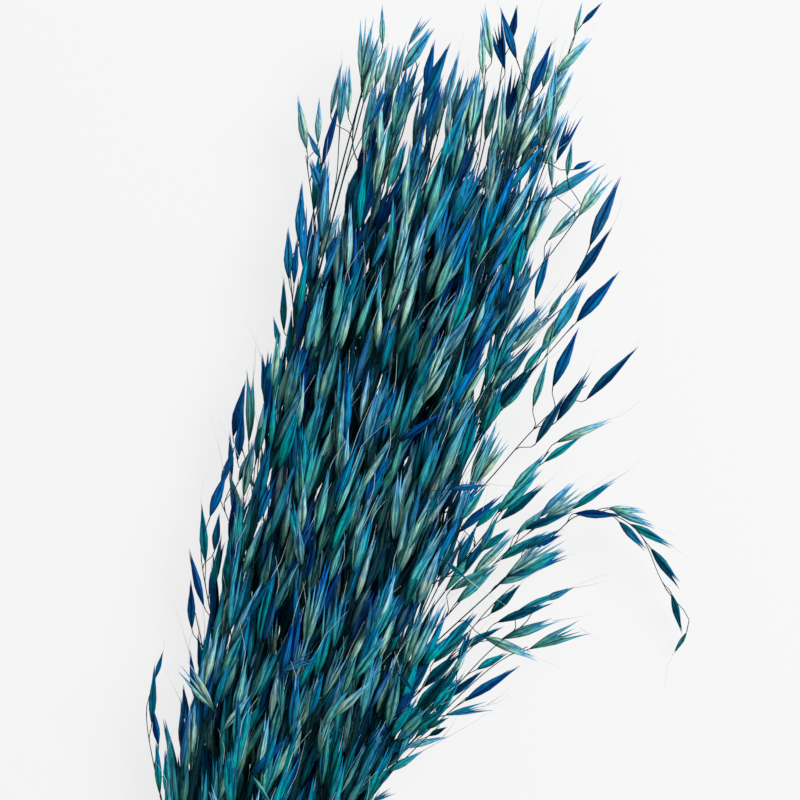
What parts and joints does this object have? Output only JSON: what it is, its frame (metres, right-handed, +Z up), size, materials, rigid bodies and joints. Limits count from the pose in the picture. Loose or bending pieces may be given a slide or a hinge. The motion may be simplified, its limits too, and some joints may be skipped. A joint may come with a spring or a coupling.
{
  "type": "bunch of dried oat stalks",
  "caption": "Tied bunch of dyed dried oat stalks lying on its side, with dense blue-green heads, thin side sprays and bare straws below a twine tie.",
  "frame": {"origin": "middle of the underside of the bunch as it lies on its side", "axes": "+Y from the cut ends to the tips of the heads, +Z up from the surface it lies on, +X across to the side with the long sprays"},
  "size_m": [0.2052, 0.6734, 0.065],
  "materials": {
    "dyed_oat": "papery satin",
    "twine": "matte"
  },
  "bodies": {
    "root": {"stalk_01": "dyed_oat", "stalk_02": "dyed_oat", "stalk_03": "dyed_oat", "stalk_04": "dyed_oat", "stalk_05": "dyed_oat", "stalk_06": "dyed_oat", "stalk_07": "dyed_oat", "stalk_08": "dyed_oat", "stalk_09": "dyed_oat", "stalk_10": "dyed_oat", "stalk_11": "dyed_oat", "stalk_12": "dyed_oat", "stalk_13": "dyed_oat", "stalk_14": "dyed_oat", "stalk_15": "dyed_oat", "stalk_16": "dyed_oat", "stalk_17": "dyed_oat", "stalk_18": "dyed_oat", "stalk_19": "dyed_oat", "stalk_20": "dyed_oat", "stalk_21": "dyed_oat", "stalk_22": "dyed_oat", "stalk_23": "dyed_oat", "stalk_24": "dyed_oat", "tie": "twine"}
  },
  "joints": []
}
